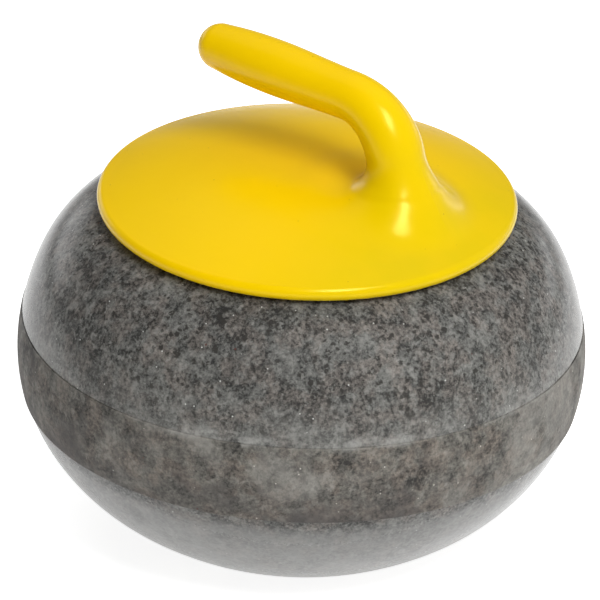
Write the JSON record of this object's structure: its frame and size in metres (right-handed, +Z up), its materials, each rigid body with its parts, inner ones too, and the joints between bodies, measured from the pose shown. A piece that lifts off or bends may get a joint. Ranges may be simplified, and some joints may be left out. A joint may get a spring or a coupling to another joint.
{
  "type": "curling stone",
  "caption": "Granite curling stone: polished domes, a matte striking band, a cupped running face and a yellow moulded gooseneck handle clamped on by a central through bolt.",
  "frame": {"origin": "centre of the running band on the plane of the ice", "axes": "+Z up along the stone's axis; the handle's post stands on the +X side and the grip points to -X"},
  "size_m": [0.2679, 0.268, 0.2396],
  "materials": {
    "granite": "polished granite with a matte ground band",
    "handle_plastic": "glossy moulded yellow plastic",
    "gasket_rubber": "matte black",
    "bush_nylon": "natural nylon",
    "insert_brass": "turned",
    "bolt_steel": "zinc plated",
    "washer_steel": "zinc plated",
    "washer_rubber": "matte black"
  },
  "bodies": {
    "root": {"granite_body": "granite", "handle": "handle_plastic", "seat_gasket": "gasket_rubber", "centring_bush": "bush_nylon", "threaded_insert": "insert_brass", "through_bolt": "bolt_steel", "steel_washer": "washer_steel", "rubber_washer": "washer_rubber"}
  },
  "joints": []
}
